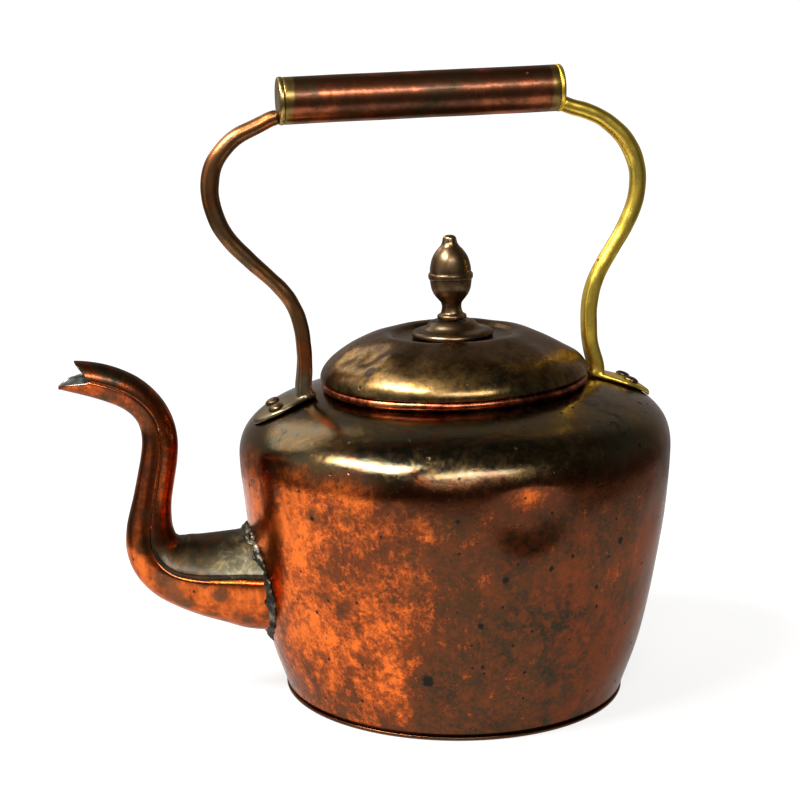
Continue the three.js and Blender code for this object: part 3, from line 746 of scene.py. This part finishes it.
def build_lid(bronze, copper, tin):
    dome = lathe("lid_top", sheet(catmull(LID_OUTLINE, 8), LID_SHEET), 240, shape_lid)
    finish_piece(dome, LID, bronze, "aged_copper", "lid_dome")
    tin_inside(dome, tin, [(0, 0, 90)])
    foot, bend, top, outer = 130.85, 139, 147.6, 54.4
    skirt = lathe("lid_collar", np.vstack([
        arc(outer - THIN_SHEET / 2, foot, THIN_SHEET / 2, 180, 360, 7),
        [[outer, bend], [outer, top], [outer - THIN_SHEET, top], [outer - THIN_SHEET, bend]],
    ]), 200, on_mouth)
    finish_piece(skirt, LID, copper, "copper", "lid_skirt")


def build_knob(brass, bronze, copper):
    """The acorn on its plate, with its stud through the lid and a washer under it."""
    bore, edge, top = KNOB_PLATE_OUTLINE[:2], catmull(KNOB_PLATE_OUTLINE[2:12], 6), KNOB_PLATE_OUTLINE[12:]
    rosette = lathe("knob_rosette", np.vstack([bore, edge, top]), 128, on_mouth)
    finish_piece(rosette, LID, bronze, "aged_brass", "knob_plate")
    acorn = catmull(ACORN_OUTLINE, 4)
    acorn[-1, 0] = 0.0
    knob = lathe("acorn_knob", np.vstack([STUD_OUTLINE, acorn]), 112, on_mouth)
    finish_piece(knob, LID, brass, "aged_brass", "knob")
    rove = lathe("stud_washer", np.vstack([
        arc(6.0, 156.45, 0.5, -90, 90, 7), [[2.8, 156.95], [2.8, 155.95]],
    ]), 72, on_mouth)
    finish_piece(rove, LID, copper, "copper", "knob_rove")


# ---- Spout ------------------------------------------------------------------------------------
SPOUT_SHEET, SEAM_THICKNESS = 1.1, 0.34
# x, z, height and width of the section, and rise of the side seams above the centre line.
SPOUT_SECTIONS = [
    (-78, 52.0, 46, 48, 6), (-87, 52.4, 45.5, 47.5, 6), (-94.3, 53.2, 44.0, 46, 5.6),
    (-100.3, 53.9, 41.1, 43.5, 5), (-110, 55.3, 37.2, 40, 3.6), (-118.7, 57.3, 33.2, 36.5, 2),
    (-126.4, 60.3, 29.5, 32.5, 0.8), (-131.6, 64.6, 26.2, 28.5, 0.2), (-134.6, 70.2, 23.3, 25, 0),
    (-135.5, 76.4, 20.8, 22.2, 0), (-135.2, 82.4, 18.8, 19.8, 0), (-134.1, 90.2, 16.8, 17.6, 0),
    (-132.4, 99.6, 16.1, 16.6, 0), (-130.8, 108.5, 15.8, 16.2, 0), (-130.2, 116.2, 15.4, 16, 0),
    (-131.1, 123.0, 14.8, 15.8, 0), (-133.6, 129.1, 14.4, 15.6, 0), (-137.6, 134.2, 14.5, 15.6, 0),
    (-142.6, 138.2, 15.0, 15.8, 0), (-148.5, 141.2, 15.3, 16, 0), (-154.8, 143.5, 15.2, 16, 0),
    (-161.2, 145.1, 14.5, 15.6, 0), (-166.5, 146.0, 13.5, 14.8, 0), (-172.0, 146.6, 11.8, 13, 0),
]
# The mouth is cut to a beak: the throat of the cut, and a point far out along each of its sides.
THROAT, BEAK_UPPER, BEAK_LOWER = (-158.6, 145.4), (-180.1, 168.0), (-196.0, 139.2)


def frames_along(rows, steps):
    """Smooth frames along a centre line: (point, across, half height, half width, seam rise)."""
    path = catmull(rows, steps)
    along = np.gradient(path[:, :2], axis=0)
    along /= np.linalg.norm(along, axis=1)[:, None]
    return [
        (np.array([p[0], 0, p[1]]), np.array([t[1], 0, -t[0]]), *(p[2:4] / 2), *p[4:])
        for p, t in zip(path, along)
    ]


spout_frames = frames_along(SPOUT_SECTIONS, 5)


def section_point(at, up, side):
    return at[0] + at[1] * up + np.array([0, side, 0])


def section_ring(at, grow, count, squareness=2.0):
    """A full ring of a section, grown by so many mm. A higher squareness is more like a box."""
    power = 2 / squareness
    ring = []
    for angle in np.linspace(0, 2 * math.pi, count, endpoint=False):
        c, s = math.cos(angle), math.sin(angle)
        up = (at[2] + grow) * math.copysign(abs(s) ** power, s)
        side = (at[3] + grow) * math.copysign(abs(c) ** power, c)
        ring.append(section_point(at, up, side))
    return np.array(ring)


def half_ring(at, upper, place_share):
    """The wall of one half of the spout. The upper half laps over the lower along the seams."""
    sign = 1 if upper else -1
    outer, inner = [], []
    steps = 26
    lap = 0.5 * (1 - smoothstep(place_share, 0.34, 0.50)) if upper else 0.0
    for k in range(steps + 1):
        share = k / steps
        edge = min(share, 1 - share)
        for wall, shrink in ((outer, 0.0), (inner, SPOUT_SHEET)):
            high, wide = at[2] - shrink, at[3] - shrink
            start = math.asin((sign * at[4] + 0.06) / high)
            angle = start + (math.pi - 2 * start) * share
            swell = lap * math.exp(-((edge / 0.05) ** 2)) if shrink == 0 else 0.0
            up = sign * (high + swell) * math.sin(angle)
            wall.append(section_point(at, up, (wide + swell) * math.cos(angle)))
    return np.array(outer + inner[::-1])


def body_solid(grow):
    outside = offset_outline(catmull(BODY_OUTLINE, 6), grow)
    closed = np.vstack([[0, outside[0, 1]], outside, [0, outside[-1, 1]]])
    return lathe("body_solid", closed, 160, shape_body)


def beak_wedge():
    """The V that opens the mouth, with a rounded throat."""
    throat, upper, lower = (np.array([x, 0, z]) for x, z in (THROAT, BEAK_UPPER, BEAK_LOWER))
    start = throat + 3.0 * (upper - throat) / np.linalg.norm(upper - throat)
    end = throat + 3.0 * (lower - throat) / np.linalg.norm(lower - throat)
    deep = throat + [1.2, 0, 0.1]
    curve = [(1 - t) ** 2 * start + 2 * t * (1 - t) * deep + t**2 * end for t in np.linspace(0, 1, 9)]
    corners = np.array([upper, *curve, lower])
    roll = 20 * math.tan(math.radians(7))
    return loft("beak_wedge", [corners + [0, -20, -roll], corners + [0, 20, roll]])


def round_lips(obj):
    """Rounds the end of the spout in plan, so that both lips end in a spoon's edge."""
    for vertex in obj.data.vertices:
        x, y = vertex.co.x / MM, vertex.co.y / MM
        share = min(max((-160.5 - x) / 11.5, 0.0), 1.0)
        vertex.co.x += 6.4 * MM * share**1.3 * min((y / 6.6) ** 2, 1.0)


def roughen(obj, amount, size, seed):
    """Moves a mesh's points along their normals by a smooth unevenness."""
    mesh = obj.data
    at = np.array([v.co for v in mesh.vertices]) / MM
    normals = np.array([v.normal for v in mesh.vertices])
    mesh.vertices.foreach_set("co", ((at + normals * wobble(at, size, amount, seed)[:, None]) * MM).ravel())
    mesh.update()


def build_spout(upper_copper, lower_copper, tin):
    last = len(spout_frames) - 1
    for name, upper, material, slot, node in (
        ("spout_top", True, upper_copper, "aged_copper", "spout_upper_half"),
        ("spout_bottom", False, lower_copper, "copper", "spout_lower_half"),
    ):
        half = loft(name, [half_ring(f, upper, i / last) for i, f in enumerate(spout_frames)])
        round_lips(half)
        cut(half, body_solid(0.1))
        cut(half, beak_wedge())
        finish_piece(half, KETTLE, material, slot, node)
        tin_inside(half, tin, [f[0] for f in spout_frames])


def build_seams(bronze):
    """The rounded lip of the overlap along both seams of the lower bend."""
    strands = []
    stretch = spout_frames[12:50]
    for side in (-1, 1):
        rings = []
        for i, at in enumerate(stretch):
            thick = SEAM_THICKNESS * math.sin(math.pi * (i + 1) / (len(stretch) + 1)) ** 0.35
            angle = math.asin(at[4] / at[2])
            centre = section_point(at, at[2] * math.sin(angle), side * (at[3] + 0.12) * math.cos(angle))
            out = np.array([0, side, 0])
            rings.append(np.array([
                centre + thick * (out * math.cos(a) + at[1] * math.sin(a))
                for a in np.linspace(0, 2 * math.pi, 8, endpoint=False)
            ]))
        strands.append(loft("seam", rings))
    seams = join("spout_seams", strands)
    finish_piece(seams, KETTLE, bronze, "aged_copper")


def wall_radius(height):
    rows = catmull(BODY_OUTLINE, 6)
    return np.interp(height, rows[:, 1], rows[:, 0])


def solder_ring(root, angle):
    """One section across the fillet, over its face and back underneath, at an angle round the root."""
    up, side = math.sin(angle), math.cos(angle)
    lump = 1 + 0.55 * noise.noise(Vector((2.6 * up, 2.6 * side, 3.1)))
    lump += 0.35 * noise.noise(Vector((7.0 * up, 7.0 * side, 9.7)))
    drip = 4.5 * math.exp(-(((angle - 1.5 * math.pi + 0.12) / 0.20) ** 2))
    thin_on_top = 1.0 - 0.35 * up
    reach_out, reach_wall = 4.2 * lump * thin_on_top, 3.4 * lump * thin_on_top + drip

    def spread(share):
        return 0.1 + reach_wall * max(0.0, (share - 0.35) / 0.65) ** 1.1

    def point(grow, lift):
        y = (root[3] + grow) * side
        z = root[0][2] + (root[2] + grow) * up
        return -math.sqrt(max((wall_radius(z) + lift) ** 2 - y * y, 0.0)), y, z

    ring = []
    for share in np.linspace(0, 1, 10):
        swell = 1.3 * lump * math.sin(math.pi * share) * (0.4 + 0.6 * share)
        ring.append(point(spread(share), 0.1 + reach_out * (1 - share) ** 1.5 + swell))
    underneath = [point(spread(0.75), -0.5), point(spread(0.4), -0.5), point(-0.3, 0.8)]
    return np.array(ring + underneath)


def build_solder(material):
    """A lumpy fillet round the spout's root, with a run that has dripped down the wall."""
    angles = np.linspace(0, 2 * math.pi, 220, endpoint=False)
    fillet = loft("root_solder", [solder_ring(spout_frames[12], a) for a in angles], wrap=True)
    roughen(fillet, 0.9, 2.6, 12)
    roughen(fillet, 0.4, 1.1, 14)
    finish_piece(fillet, KETTLE, material, "solder", "spout_solder")


# ---- Handle -----------------------------------------------------------------------------------
GRIP_CENTRE = (-15.8, 0, 263.2)
GRIP_LENGTH, GRIP_RADIUS, CAP_THICKNESS = 123.2, 10.0, 2.2
STAY_DROP = 6.7
FRONT_STAY = [
    (-79.6, 253.6, 6.6, 7.4), (-86.6, 250.4, 6.8, 7.4), (-95.1, 245.9, 7.2, 7.6),
    (-100.9, 240.5, 7.6, 7.8), (-104.9, 234.0, 7.9, 8.0), (-106.5, 226.0, 8.0, 8.2),
    (-105.8, 217.7, 7.7, 8.2), (-102.7, 209.1, 7.4, 8.2), (-97.3, 201.1, 7.1, 8.2),
    (-89.8, 193.4, 6.8, 8.2), (-81.9, 186.2, 6.5, 8.2), (-74.9, 178.9, 6.4, 8.4),
    (-70.1, 170.4, 6.4, 8.6), (-67.9, 161.7, 6.3, 9.0), (-67.1, 153.1, 6.3, 9.6),
    (-67.0, 145.5, 6.4, 11.0),
]
REAR_STAY = [
    (50.9, 257.3, 7.0, 7.4), (56.6, 255.7, 7.1, 7.4), (64.4, 252.3, 7.1, 7.4), (71.9, 246.6, 7.5, 7.6),
    (77.6, 239.0, 7.7, 7.8), (80.6, 231.0, 7.6, 7.8), (81.2, 223.2, 7.5, 7.8), (79.7, 214.3, 7.4, 7.8),
    (75.8, 205.0, 7.1, 7.8), (70.4, 195.6, 6.8, 7.8), (65.4, 187.0, 6.6, 8.0), (61.9, 178.6, 6.5, 8.2),
    (60.4, 170.0, 6.4, 8.6), (60.4, 162.0, 6.2, 9.4), (61.0, 154.0, 6.0, 11.0),
]
FRONT_FOOT = {"start": -62.5, "stay": -67.2, "rivets": -79.4, "end": -89.7}
REAR_FOOT = {"start": 59.6, "stay": 63.5, "rivets": 77.6, "end": 88.8}
FOOT_THICKNESS, FOOT_LIFT = 2.6, 0.25
RIVET_SPREAD = 6.3
SHOULDER = catmull(BODY_OUTLINE, 12)
SHOULDER = SHOULDER[SHOULDER[:, 1] > 104][::-1]


def shoulder_height(x, y):
    """Height of the body's outside over a point of the shoulder."""
    radius = np.hypot(x + TOP_SHIFT, y)
    z = np.interp(radius, SHOULDER[:, 0], SHOULDER[:, 1])
    return z + (x + TOP_SHIFT) * math.tan(LEAN) * smoothstep(z, LEAN_FROM, LEAN_TO)


def shoulder_normal(x, y):
    step = 0.5
    dx = (shoulder_height(x + step, y) - shoulder_height(x - step, y)) / (2 * step)
    dy = (shoulder_height(x, y + step) - shoulder_height(x, y - step)) / (2 * step)
    normal = np.array([-dx, -dy, 1.0])
    return normal / np.linalg.norm(normal)


def grip_point(along, up):
    return np.array([
        GRIP_CENTRE[0] + along * math.cos(LEAN) - up * math.sin(LEAN),
        GRIP_CENTRE[2] + along * math.sin(LEAN) + up * math.cos(LEAN),
    ])


def foot_plate(spec):
    """The spade foot, bent to the shoulder, with round edges."""
    widths = np.array([
        (0, 5.4), (0.12, 6.3), (0.26, 8.4), (0.42, 10.8), (0.58, 11.7), (0.74, 11.0), (0.86, 9.0),
        (0.94, 6.4), (0.985, 3.4), (1, 1.6),
    ])
    shares = np.unique(np.concatenate([np.linspace(0, 0.86, 26), np.linspace(0.86, 1.0, 14)]))
    rings = []
    for share in shares:
        x = spec["start"] + (spec["end"] - spec["start"]) * share
        half = np.interp(share, widths[:, 0], widths[:, 1])
        ring = []
        for angle in np.linspace(0, 2 * math.pi, 40, endpoint=False):
            c, s = math.cos(angle), math.sin(angle)
            y = half * math.copysign(abs(c) ** 0.42, c)
            rise = FOOT_THICKNESS / 2 * (1 + math.copysign(abs(s) ** 0.55, s))
            ring.append((x, y, shoulder_height(x, y) + FOOT_LIFT + rise))
        rings.append(np.array(ring))
    return loft("foot", rings)


def build_stay(name, rows, side, spec, material, slot, node):
    start = grip_point(side * (GRIP_LENGTH / 2 + 0.1), -STAY_DROP)
    normal = shoulder_normal(spec["stay"], 0)
    lift = FOOT_LIFT + FOOT_THICKNESS / normal[2]
    top = np.array([spec["stay"], shoulder_height(spec["stay"], 0) + lift])
    ankle, sole = top + 1.6 * normal[[0, 2]], top - 1.4 * normal[[0, 2]]
    path = [(*start, rows[0][2], rows[0][3]), *rows, (*ankle, 6.6, 12.4), (*sole, 7.2, 13)]
    frames = frames_along(path, 6)
    rings = []
    for i, at in enumerate(frames):
        flatness = 2.1 + 2.4 * smoothstep(i / (len(frames) - 1), 0.62, 0.78)
        rings.append(section_ring(at, 0, 36, flatness))
    stay = join(name, [loft("bar", rings), foot_plate(spec)])
    fuse(stay, voxel=0.42, smoothing=26)
    roughen(stay, 0.22, 7.0, 3 if side < 0 else 5)
    finish_piece(stay, KETTLE, material, slot, node)


def build_rivets(prefix, spec, material):
    outline = catmull([(3.1, 0.0), (3.25, 0.35), (3.05, 0.9), (2.3, 1.45), (1.2, 1.75), (0, 1.8)], 5)
    shank = np.array([(0, -6.2), (2.2, -6.0), (3.0, -5.2), (2.9, -4.6), (2.1, -4.55), (2.1, 0.0)])
    outline = np.vstack([shank, outline])
    for i, y in enumerate((-RIVET_SPREAD, RIVET_SPREAD)):
        x = spec["rivets"]
        normal = shoulder_normal(x, y)
        lift = FOOT_LIFT + FOOT_THICKNESS * normal[2] - 0.05
        seat = np.array([x, y, shoulder_height(x, y)]) + normal * lift
        turn = Vector((0, 0, 1)).rotation_difference(Vector(normal)).to_matrix()

        def set_on_foot(points, turn=np.array(turn), seat=seat, seed=i + 3):
            uneven = points.copy()
            head = points[:, 2] > -0.1
            uneven[head, :2] *= 1 + wobble(points[head], 3.0, 0.14, seed)[:, None]
            return uneven @ turn.T + seat

        rivet = lathe(f"{prefix}_rivet_head_{i + 1}", outline, 40, set_on_foot)
        finish_piece(rivet, KETTLE, material, "aged_copper", f"{prefix}_rivet_{i + 1}")


def on_grip(points):
    """From a lathe's Z axis to the grip's own axis."""
    turned = np.stack([points[:, 2], points[:, 1], -points[:, 0]], axis=1)
    return place(turned, GRIP_CENTRE, LEAN)


def shape_tube(points):
    """Handling has left the tube very slightly flattened and wavy."""
    out = points.copy()
    out[:, :2] *= (1 + wobble(points, 26.0, 0.018, 8) + wobble(points, 8.0, 0.004, 9))[:, None]
    return on_grip(out)


def build_grip(bronze):
    half = GRIP_LENGTH / 2 - CAP_THICKNESS - 0.1
    stations = np.linspace(-half + 0.4, half - 0.4, 60)
    outside = np.stack([np.full(60, GRIP_RADIUS), stations], axis=1)
    ends = [[(GRIP_RADIUS - 0.12, z * half)] for z in (-1, 1)]
    inside = np.array([(GRIP_RADIUS - 1, half), (GRIP_RADIUS - 1, -half)])
    tube = lathe("grip_sleeve", np.vstack([ends[0], outside, ends[1], inside]), 96, shape_tube)
    finish_piece(tube, KETTLE, bronze, "aged_copper", "grip_tube")


def build_caps(brass, dull_brass):
    """A brass disc with a worn round edge closes each end, plugged into the tube by a spigot."""
    rim, face, spigot = GRIP_RADIUS + 0.15, GRIP_LENGTH / 2, 8.5
    back = face - CAP_THICKNESS
    outline = np.vstack([
        [(0, back - 7), (spigot - 0.4, back - 7), (spigot, back - 6.6), (spigot, back), (rim - 0.2, back)],
        catmull([(rim, back + 0.3), (rim, face - 0.9), (rim - 0.3, face - 0.25), (rim - 1.0, face)], 5),
        [(5, face + 0.02), (0, face + 0.02)],
    ])
    for name, side, node, metal in (
        ("front_cap", -1, "front_grip_cap", dull_brass), ("rear_cap", 1, "rear_grip_cap", brass),
    ):
        turned = outline * [1, side]
        cap = lathe(name, turned, 96, on_grip)
        finish_piece(cap, KETTLE, metal, "brass", node)


# ---- Stage ------------------------------------------------------------------------------------
FLOOR_RADIUS = 380
# Bright directions of the room: towards, cosines where the glow starts and is full, brightness.
GLOWS = [
    ((0.10, 1.0, 0.02), 0.30, 0.80, 0.40),
    ((-1.0, -0.20, 0.16), 0.80, 0.97, 0.60),
    ((-0.90, 0.10, 0.75), 0.84, 0.98, 0.85),
    ((1.0, 0.35, 0.05), 0.60, 0.95, 0.14),
    ((0.10, -1.0, -0.12), 0.60, 0.97, 0.09),
    ((-0.3, -0.2, 1.0), 0.75, 0.98, 0.06),
]
ROOM_DARK, BEHIND_KETTLE = 0.035, 1.1


def build_floor():
    """A round white table top. Past its edge the white surroundings carry on."""
    angles = np.linspace(0, 2 * math.pi, 96, endpoint=False)
    rim = FLOOR_RADIUS * np.stack([np.cos(angles), np.sin(angles), 0 * angles], axis=1)
    floor = make_object("floor", rim, [tuple(range(len(rim)))])
    floor.location.z = -0.0002
    paper = Shader("white_paper")
    paper.feed(paper.surface, {
        "Base Color": (0.20, 0.198, 0.195, 1), "Roughness": 0.85,
        "Emission Color": (1, 0.995, 0.985, 1), "Emission Strength": 0.80,
    })
    floor.data.materials.append(paper.material)


def area_light(name, position, target, size, strength, glossy=True):
    data = bpy.data.lights.new(name, "AREA")
    data.shape = "RECTANGLE"
    data.size, data.size_y = size
    data.energy = strength
    light = bpy.data.objects.new(name, data)
    light.location = position
    aim = Vector(target) - Vector(position)
    light.rotation_euler = aim.to_track_quat("-Z", "Y").to_euler()
    light.visible_glossy = glossy
    light.visible_camera = False
    bpy.context.scene.collection.objects.link(light)


def build_world():
    """A dim room with soft bright sides behind and to the left, and white behind the kettle."""
    world = bpy.data.worlds.new("studio")
    bpy.context.scene.world = world
    world.use_nodes = True
    world.node_tree.nodes.clear()
    n = Nodes(world.node_tree)
    direction = n.add("ShaderNodeTexCoord").outputs["Generated"]
    room = None
    for towards, start, full, brightness in GLOWS:
        inputs = {0: direction, 1: Vector(towards).normalized()}
        facing = n.add("ShaderNodeVectorMath", inputs, operation="DOT_PRODUCT").outputs["Value"]
        glow = n.ramp(facing, start, full, 0.0, brightness)
        room = n.math("ADD", glow, ROOM_DARK) if room is None else n.math("MAXIMUM", room, glow)
    camera_ray = n.add("ShaderNodeLightPath").outputs["Is Camera Ray"]
    seen = n.add("ShaderNodeMix", {"Factor": camera_ray, "A": room, "B": BEHIND_KETTLE}, data_type="FLOAT")
    inputs = {"Color": (1.0, 1.0, 1.0, 1.0), "Strength": seen.outputs["Result"]}
    background = n.add("ShaderNodeBackground", inputs)
    n.add("ShaderNodeOutputWorld", {"Surface": background.outputs["Background"]})


def build_camera():
    data = bpy.data.cameras.new("camera")
    data.lens = 83.25
    data.sensor_width = 36.0
    camera = bpy.data.objects.new("camera", data)
    camera.location = (-0.1665, -0.7832, 0.3016)
    camera.rotation_euler = (math.radians(77.98), 0, math.radians(-10.25))
    bpy.context.scene.collection.objects.link(camera)
    bpy.context.scene.camera = camera


def build_stage():
    build_world()
    build_floor()
    area_light("softbox", (-0.72, -0.26, 1.04), (0, 0, 0.12), (0.80, 0.20), 36)
    area_light("window", (-0.06, -1.26, 1.02), (0, 0, 0.2), (0.95, 0.22), 16)
    area_light("rear_light", (-0.72, 1.15, 1.02), (0, 0, 0.15), (0.95, 0.60), 5)
    area_light("ceiling", (0.1, 0.2, 1.6), (0, 0, 0), (2.2, 2.2), 7, glossy=False)
    build_camera()
    bpy.context.scene.view_settings.view_transform = "Standard"


# ---- Everything together ----------------------------------------------------------------------
# Bright, tarnished and dark tints, noise level of the middle one, and share of cells with a speck.
YELLOW_BRASS = (((1.0, 0.72, 0.11), (0.68, 0.44, 0.055), (0.26, 0.17, 0.03)), 0.56, 0.10)
DULL_BRASS = (((0.50, 0.36, 0.12), (0.26, 0.18, 0.06), (0.10, 0.07, 0.03)), 0.48, 0.12)
BROWN_BRASS = (((0.42, 0.115, 0.030), (0.20, 0.085, 0.030), (0.10, 0.056, 0.024)), 0.47, 0.12)
KNOB_BRASS = (((0.26, 0.17, 0.085), (0.14, 0.085, 0.040), (0.055, 0.033, 0.016)), 0.49, 0.10)
DARK_BRONZE = (((0.17, 0.105, 0.050), (0.085, 0.055, 0.028), (0.035, 0.024, 0.014)), 0.49, 0.10)
GRIP_COPPER = (((0.30, 0.080, 0.030), (0.11, 0.036, 0.016), (0.035, 0.024, 0.011)), 0.47, 0.14)

build_stage()
copper = body_material()
red_copper = bead_material()
tin = tin_material()
spout_copper = spout_material("spout_copper", upper=False)
spout_bronze = spout_material("spout_bronze", upper=True)
yellow_brass = brass_material("yellow_brass", *YELLOW_BRASS)
dull_brass = brass_material("dull_brass", *DULL_BRASS)
brown_brass = brass_material("brown_brass", *BROWN_BRASS, foot=(0.17, 0.15, 0.085))
knob_brass = brass_material("knob_brass", *KNOB_BRASS)
dark_bronze = brass_material("dark_bronze", *DARK_BRONZE)
grip_copper = brass_material("grip_copper", *GRIP_COPPER, ends=(0.20, 0.135, 0.035))

build_body(copper, tin)
build_base(copper)
build_mouth(red_copper, iron_material())
build_lid(lid_material(), red_copper, tin)
build_knob(knob_brass, dark_bronze, red_copper)
build_spout(spout_bronze, spout_copper, tin)
build_seams(spout_bronze)
build_solder(solder_material())
build_stay("front_bar", FRONT_STAY, -1, FRONT_FOOT, brown_brass, "aged_brass", "front_stay")
build_stay("rear_bar", REAR_STAY, 1, REAR_FOOT, yellow_brass, "brass", "rear_stay")
build_rivets("front", FRONT_FOOT, dark_bronze)
build_rivets("rear", REAR_FOOT, dark_bronze)
build_grip(grip_copper)
build_caps(yellow_brass, dull_brass)
